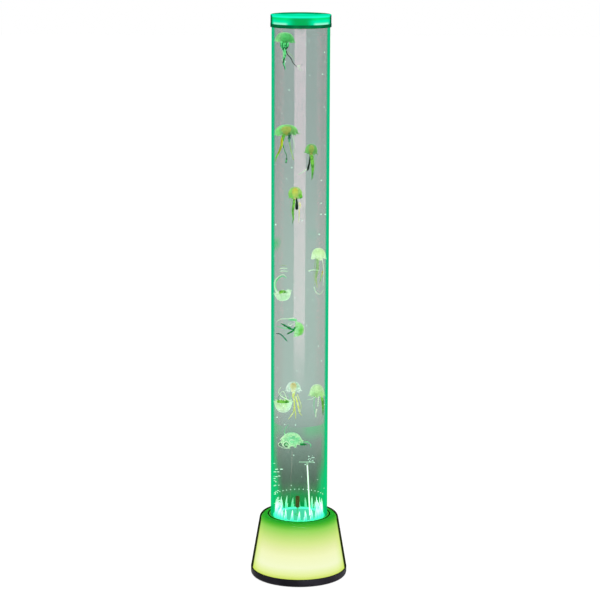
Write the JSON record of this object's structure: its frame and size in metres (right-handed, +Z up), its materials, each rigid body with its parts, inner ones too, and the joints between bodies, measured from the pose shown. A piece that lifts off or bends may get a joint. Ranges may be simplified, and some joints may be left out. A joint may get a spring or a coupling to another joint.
{
  "type": "bubble tube floor lamp",
  "caption": "Bubble tube floor lamp: a tall clear water column with floating jellyfish, a lift-off cap and a lit conical base on a black tray.",
  "frame": {"origin": "on the floor under the middle of the base", "axes": "+Z up along the column, -Y the front, +Y the rear with the buttons and the power inlet"},
  "size_m": [0.204, 0.204, 1.19],
  "materials": {
    "black_plastic": "fine satin moulding grain",
    "foot_rubber": "matt",
    "clear_cover": "clear, slightly smoked, polished",
    "frosted_diffuser": "frosted, lit from inside",
    "clear_acrylic": "clear, polished, green at the edges",
    "cap_acrylic": "clear, polished, lit green",
    "clear_blades": "clear, edge lit",
    "jelly_silicone": "soft translucent silicone",
    "white_plastic": "moulded",
    "grey_plastic": "moulded",
    "seal_rubber": "soft silicone rubber",
    "black_rubber": "matt",
    "circuit_board": "white solder mask",
    "led_package": "moulded with a yellow lens",
    "chip_plastic": "moulded",
    "screw_steel": "zinc plated",
    "brass": "turned",
    "iron_core": "stacked sheet",
    "copper_winding": "wound enamelled wire",
    "magnet": "nickel plated",
    "stone": "sintered grains"
  },
  "bodies": {
    "root": {"base_tray": "black_plastic", "rubber_feet": "foot_rubber", "base_cover": "clear_cover", "base_diffuser": "frosted_diffuser", "cover_screws": "screw_steel", "column_socket": "grey_plastic", "socket_screws": "screw_steel", "tube_gasket": "seal_rubber", "water_tube": "clear_acrylic", "tube_floor": "clear_acrylic", "column_light_board": "circuit_board", "column_leds": "led_package", "base_light_board": "circuit_board", "base_leds": "led_package", "control_board": "circuit_board", "board_parts": "chip_plastic", "board_screws": "screw_steel", "dc_inlet": "chip_plastic", "dc_inlet_pin": "brass", "pump_feet": "black_rubber", "pump_housing": "white_plastic", "pump_lid": "white_plastic", "pump_lid_screws": "screw_steel", "pump_core": "iron_core", "pump_coil": "copper_winding", "pump_pivot_pin": "screw_steel", "pump_diaphragm": "black_rubber", "pump_valve_box": "grey_plastic", "air_hose": "seal_rubber", "check_valve": "white_plastic", "floor_nozzle": "brass", "nozzle_washer": "black_rubber", "nozzle_nut": "brass", "air_stone": "stone", "riser_pipe": "white_plastic", "riser_tee": "white_plastic", "blade_ring": "clear_blades"},
    "cap": {"cap": "cap_acrylic", "cap_seal": "seal_rubber"},
    "power_button": {"power_button": "black_plastic"},
    "colour_button": {"colour_button": "black_plastic"},
    "pump_arm": {"pump_arm": "grey_plastic", "pump_magnet": "magnet"},
    "jellyfish_01": {"jellyfish_01": "jelly_silicone"},
    "jellyfish_02": {"jellyfish_02": "jelly_silicone"},
    "jellyfish_03": {"jellyfish_03": "jelly_silicone"},
    "jellyfish_04": {"jellyfish_04": "jelly_silicone"},
    "jellyfish_05": {"jellyfish_05": "jelly_silicone"},
    "jellyfish_06": {"jellyfish_06": "jelly_silicone"},
    "jellyfish_07": {"jellyfish_07": "jelly_silicone"},
    "jellyfish_08": {"jellyfish_08": "jelly_silicone"},
    "jellyfish_09": {"jellyfish_09": "jelly_silicone"},
    "jellyfish_10": {"jellyfish_10": "jelly_silicone"},
    "jellyfish_11": {"jellyfish_11": "jelly_silicone"}
  },
  "joints": [
    {"name": "cap_lift", "type": "slide", "parent": "root", "child": "cap", "axis": [0, 0, 1], "range_m": [0, 0.04]},
    {"name": "power_button_press", "type": "slide", "parent": "root", "child": "power_button", "axis": [0, -1, 0], "range_m": [0, 0.0008], "stiffness_N_per_m": 600},
    {"name": "colour_button_press", "type": "slide", "parent": "root", "child": "colour_button", "axis": [0, -1, 0], "range_m": [0, 0.0008], "stiffness_N_per_m": 600},
    {"name": "pump_arm_swing", "type": "hinge", "parent": "root", "child": "pump_arm", "pos_m": [0.03, 0, 0.0285], "axis": [0, 1, 0], "range_deg": [-2, 2], "stiffness_Nm_per_rad": 0.8, "deforming": ["pump_diaphragm"]},
    {"name": "jellyfish_01_drift", "type": "slide", "parent": "root", "child": "jellyfish_01", "axis": [0, 0, 1], "range_m": [-0.04, 0.02]},
    {"name": "jellyfish_02_drift", "type": "slide", "parent": "root", "child": "jellyfish_02", "axis": [0, 0, 1], "range_m": [-0.025, 0.03]},
    {"name": "jellyfish_03_drift", "type": "slide", "parent": "root", "child": "jellyfish_03", "axis": [0, 0, 1], "range_m": [-0.03, 0.03]},
    {"name": "jellyfish_04_drift", "type": "slide", "parent": "root", "child": "jellyfish_04", "axis": [0, 0, 1], "range_m": [-0.03, 0.018]},
    {"name": "jellyfish_05_drift", "type": "slide", "parent": "root", "child": "jellyfish_05", "axis": [0, 0, 1], "range_m": [-0.03, 0.03]},
    {"name": "jellyfish_06_drift", "type": "slide", "parent": "root", "child": "jellyfish_06", "axis": [0, 0, 1], "range_m": [-0.015, 0.03]},
    {"name": "jellyfish_07_drift", "type": "slide", "parent": "root", "child": "jellyfish_07", "axis": [0, 0, 1], "range_m": [-0.03, 0.02]},
    {"name": "jellyfish_08_drift", "type": "slide", "parent": "root", "child": "jellyfish_08", "axis": [0, 0, 1], "range_m": [-0.015, 0.03]},
    {"name": "jellyfish_09_drift", "type": "slide", "parent": "root", "child": "jellyfish_09", "axis": [0, 0, 1], "range_m": [-0.03, 0.03]},
    {"name": "jellyfish_10_drift", "type": "slide", "parent": "root", "child": "jellyfish_10", "axis": [0, 0, 1], "range_m": [-0.02, 0.03]},
    {"name": "jellyfish_11_drift", "type": "slide", "parent": "root", "child": "jellyfish_11", "axis": [0, 0, 1], "range_m": [-0.015, 0.018]}
  ]
}
